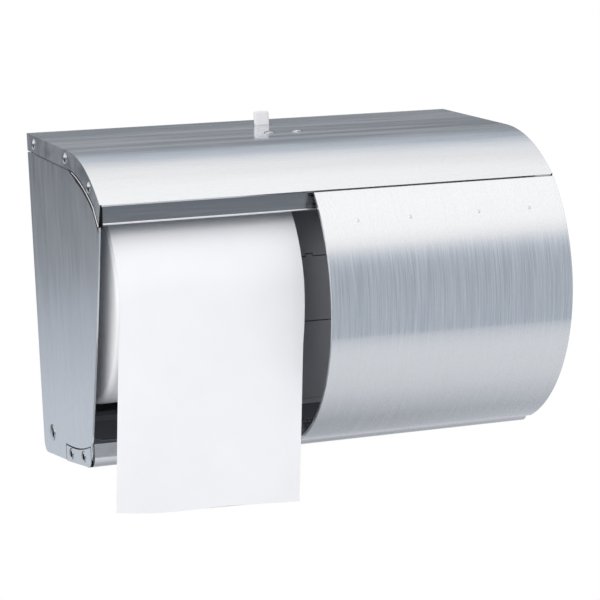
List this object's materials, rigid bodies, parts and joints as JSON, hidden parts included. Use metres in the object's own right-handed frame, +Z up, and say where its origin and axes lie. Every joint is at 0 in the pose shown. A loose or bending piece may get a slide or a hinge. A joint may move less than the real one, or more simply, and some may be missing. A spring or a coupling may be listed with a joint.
{
  "type": "coreless toilet paper dispenser",
  "caption": "Wall-mounted brushed stainless dispenser for coreless toilet rolls, with a hinged hood and a curved sliding door.",
  "frame": {"origin": "centre of the wall screw pattern, on the wall face of the back plate", "axes": "+X to the right along the width, -Y out of the wall towards the user, +Z up"},
  "size_m": [0.2594, 0.1622, 0.2042],
  "materials": {
    "brushed_steel": "brushed stainless, satin",
    "plate_steel": "plain stainless sheet",
    "rivet_steel": "bright steel",
    "dark_plastic": "fine moulded texture",
    "hub_plastic": "smooth moulded",
    "white_nylon": "natural nylon",
    "paper": "soft tissue"
  },
  "bodies": {
    "back": {"back_plate": "plate_steel", "rear_liner": "dark_plastic", "centre_post": "dark_plastic", "post_band": "dark_plastic", "right_arm": "dark_plastic", "left_arm": "dark_plastic", "centre_pin": "rivet_steel", "right_pin": "rivet_steel", "left_pin": "rivet_steel", "post_screws": "rivet_steel", "arm_screws": "rivet_steel", "paper_tail": "paper"},
    "left_roll_set": {"left_roll": "paper", "left_outer_hub": "hub_plastic", "left_inner_hub": "hub_plastic"},
    "right_roll_set": {"right_roll": "paper", "right_outer_hub": "hub_plastic", "right_inner_hub": "hub_plastic"},
    "cover": {"hood": "brushed_steel", "right_side_panel": "brushed_steel", "left_side_panel": "brushed_steel", "bottom_pan": "brushed_steel", "door_rail": "brushed_steel", "hood_rivets": "rivet_steel", "pan_rivets": "rivet_steel", "hinge_pins": "rivet_steel", "hinge_clips": "rivet_steel", "latch_bracket": "plate_steel", "lock_rivets": "rivet_steel", "latch_pin": "rivet_steel", "latch_spring": "rivet_steel"},
    "catch": {"latch_lever": "plate_steel"},
    "key": {"release_key": "white_nylon"},
    "door": {"door_panel": "brushed_steel", "door_top_bracket": "plate_steel", "door_lower_clips": "plate_steel", "door_glides": "white_nylon"}
  },
  "joints": [
    {"name": "cover_hinge", "type": "hinge", "parent": "back", "child": "cover", "pos_m": [0, -0.0212, -0.077], "axis": [1, 0, 0], "range_deg": [0, 85]},
    {"name": "door_slide", "type": "slide", "parent": "cover", "child": "door", "axis": [1, 0, 0], "range_m": [-0.1166, 0], "deforming": ["paper_tail"]},
    {"name": "left_roll_spin", "type": "hinge", "parent": "back", "child": "left_roll_set", "pos_m": [0, -0.0745, 0.008], "axis": [1, 0, 0], "continuous": true},
    {"name": "right_roll_spin", "type": "hinge", "parent": "back", "child": "right_roll_set", "pos_m": [0, -0.0745, 0.008], "axis": [1, 0, 0], "continuous": true},
    {"name": "key_slide", "type": "slide", "parent": "cover", "child": "key", "axis": [0, 0, 1], "range_m": [0, 0.002]},
    {"name": "catch_tilt", "type": "hinge", "parent": "cover", "child": "catch", "pos_m": [0.0027, -0.05399, 0.07906], "axis": [1, 0, 0], "range_deg": [0, 4.13]}
  ],
  "couplings": [
    {"joint": "catch_tilt", "follows": "key_slide", "rad_per_m": 36}
  ]
}
